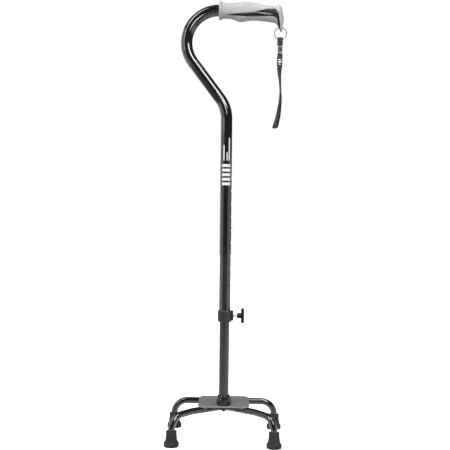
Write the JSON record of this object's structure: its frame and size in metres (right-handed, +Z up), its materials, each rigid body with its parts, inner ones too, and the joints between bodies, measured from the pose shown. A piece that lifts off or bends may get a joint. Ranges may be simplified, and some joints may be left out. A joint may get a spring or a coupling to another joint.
{
  "type": "quad walking cane",
  "caption": "Height-adjustable walking cane with a gooseneck shaft, offset two-tone grip, wrist strap, clamp collar and low spread base standing on rubber tips.",
  "frame": {"origin": "on the floor under the shaft's axis, at the middle of the base's footprint", "axes": "+Z up along the shaft, +X the way the grip points, +Y from the front pair of legs to the rear pair"},
  "size_m": [0.2311, 0.1586, 0.8495],
  "materials": {
    "tube_black": "gloss black powder coat over aluminium tube",
    "tube_satin": "satin dark anodised",
    "leg_black": "gloss black paint over steel tube",
    "plate_grey": "satin grey paint",
    "hub_black": "semi-gloss black cast metal",
    "grip_grey": "soft light grey, stippled",
    "core_black": "gloss black",
    "ring_chrome": "polished",
    "webbing": "woven black webbing",
    "keeper_black": "gloss black",
    "collar_black": "matte black",
    "knob_black": "satin black",
    "zinc": "zinc plated",
    "pad_brass": "plain",
    "spring_steel": "nickel plated",
    "black_oxide": "blackened steel fastener",
    "plug_black": "plain",
    "tip_rubber": "dull black rubber"
  },
  "bodies": {
    "base": {"base_plate": "plate_grey", "hub_socket": "hub_black", "hub_ring": "hub_black", "hub_bolt": "black_oxide", "hub_washer": "black_oxide", "dome_nut": "black_oxide", "rear_leg_tube": "leg_black", "front_leg_tube": "leg_black", "tip_front_left": "tip_rubber", "tip_front_right": "tip_rubber", "tip_rear_left": "tip_rubber", "tip_rear_right": "tip_rubber", "tip_washers": "zinc"},
    "shaft": {"lower_tube": "tube_satin", "tube_plug": "plug_black"},
    "button": {"snap_button": "spring_steel"},
    "upper": {"upper_tube": "tube_black", "grip_core": "core_black", "grip_cover": "grip_grey", "collar": "collar_black", "clamp_nut": "black_oxide"},
    "pad": {"pressure_pad": "pad_brass"},
    "clamp": {"thumb_screw": "zinc", "knob": "knob_black"},
    "ring": {"split_ring": "ring_chrome"},
    "strap": {"strap_tab": "webbing", "strap_keeper": "keeper_black", "wrist_strap": "webbing"}
  },
  "joints": [
    {"name": "shaft_turn", "type": "hinge", "parent": "base", "child": "shaft", "pos_m": [0, 0, 0.07], "axis": [0, 0, 1], "range_deg": [0, 180]},
    {"name": "height_slide", "type": "slide", "parent": "shaft", "child": "upper", "axis": [0, 0, 1], "range_m": [-0.1016, 0.127]},
    {"name": "button_press", "type": "slide", "parent": "shaft", "child": "button", "axis": [-1, 0, 0], "range_m": [0, 0.0042], "stiffness_N_per_m": 1500, "deforming": ["snap_button"]},
    {"name": "pad_press", "type": "slide", "parent": "upper", "child": "pad", "axis": [1, 0, 0], "range_m": [0, 0.001]},
    {"name": "knob_turn", "type": "hinge", "parent": "pad", "child": "clamp", "pos_m": [0.03, 0, 0.2366], "axis": [1, 0, 0], "range_deg": [0, 360]},
    {"name": "ring_swing", "type": "hinge", "parent": "upper", "child": "ring", "pos_m": [0.103, 0, 0.7981], "axis": [1, 0, 0], "range_deg": [-70, 70]},
    {"name": "strap_swing", "type": "hinge", "parent": "ring", "child": "strap", "pos_m": [0.1024, 0, 0.7754], "axis": [1, 0, 0], "range_deg": [-75, 75]}
  ],
  "couplings": [
    {"joint": "knob_turn", "follows": "pad_press", "rad_per_m": 6283}
  ]
}
